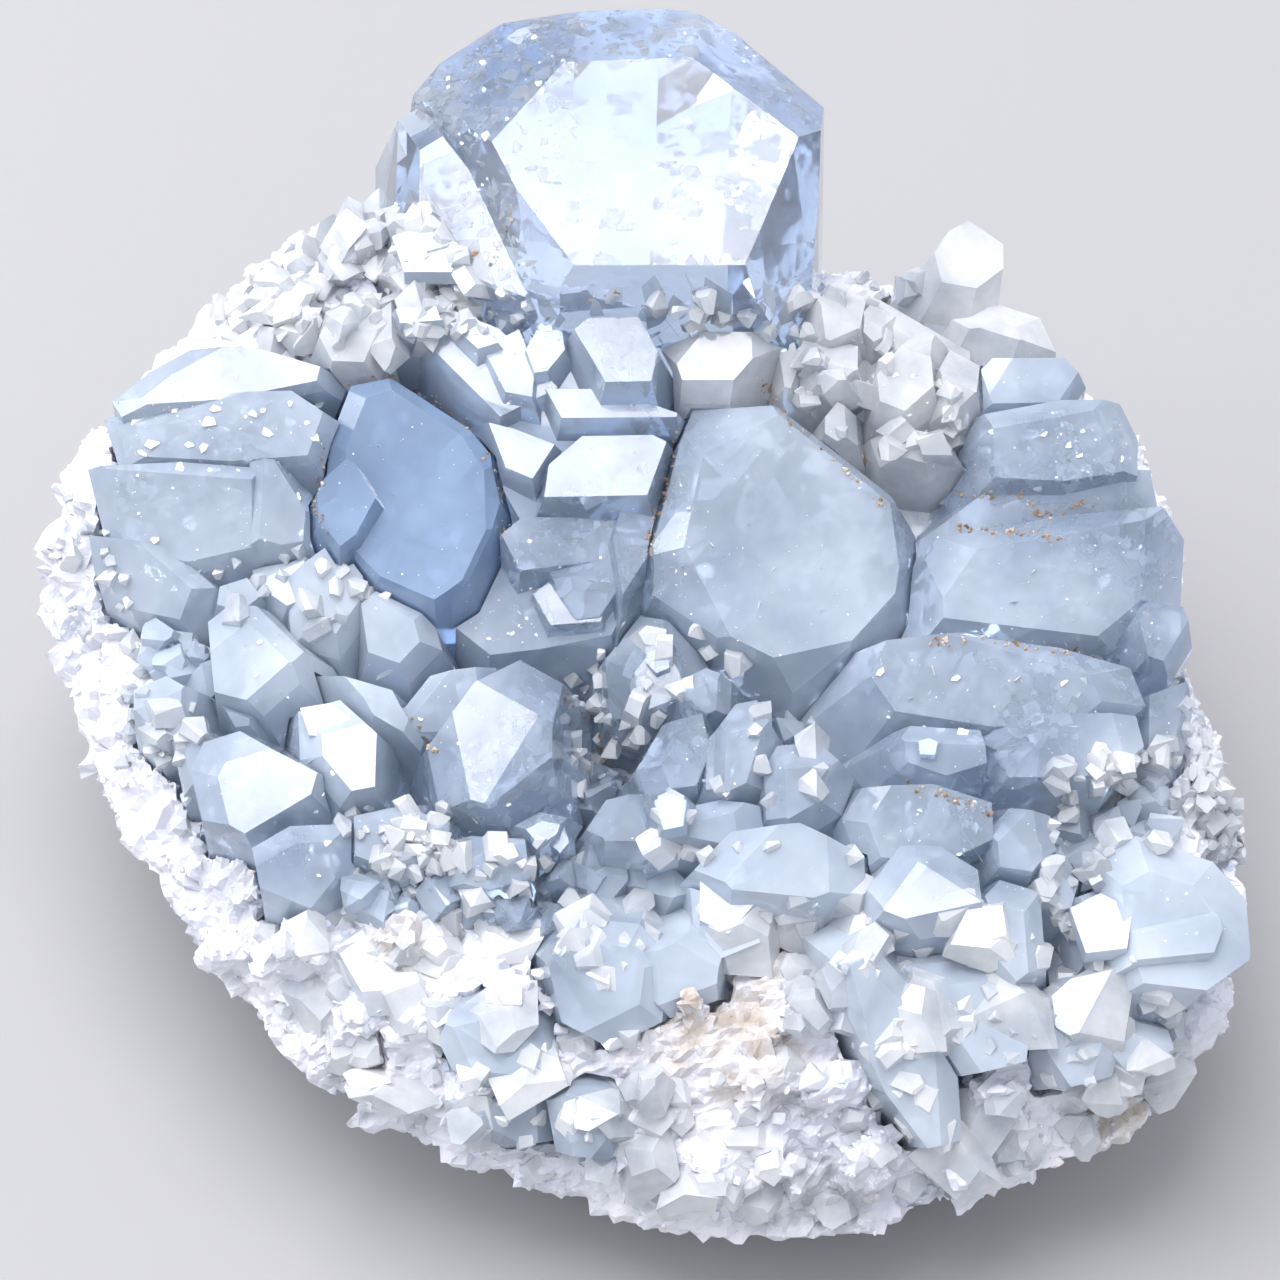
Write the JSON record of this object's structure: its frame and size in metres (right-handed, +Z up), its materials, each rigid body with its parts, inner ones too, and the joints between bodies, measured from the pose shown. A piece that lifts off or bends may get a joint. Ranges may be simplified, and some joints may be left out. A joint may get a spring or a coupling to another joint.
{
  "type": "celestite crystal cluster",
  "caption": "Pale blue see-through celestite crystals grown together on a rounded white matrix, one large crystal standing at the back.",
  "frame": {"origin": "middle of the bottom of the cluster's box, on the surface it rests on", "axes": "+Z up from the resting spot, -Y towards the low front of the matrix, +X to the viewer's right"},
  "size_m": [0.1288, 0.12, 0.0798],
  "materials": {
    "crust": "rough, sugary, broken",
    "clear": "clear, flat polished faces",
    "milky": "milky, flat faces with veils inside",
    "blue": "smooth deep blue"
  },
  "bodies": {
    "root": {"matrix": "crust", "great_crystal": "clear", "round_crystal": "milky", "blue_crystal": "blue", "stepped_crystal": "milky", "left_block": "milky", "clear_cluster": "clear", "right_stack": "milky", "centre_low": "milky", "centre_left": "milky", "left_small": "milky", "lower_left": "milky", "lower_right": "milky", "corner_crystal": "milky", "far_crystal": "clear", "ridge_crystals": "clear", "front_left_block": "milky", "front_middle_block": "milky", "front_blade": "milky", "front_right_block": "milky"}
  },
  "joints": []
}
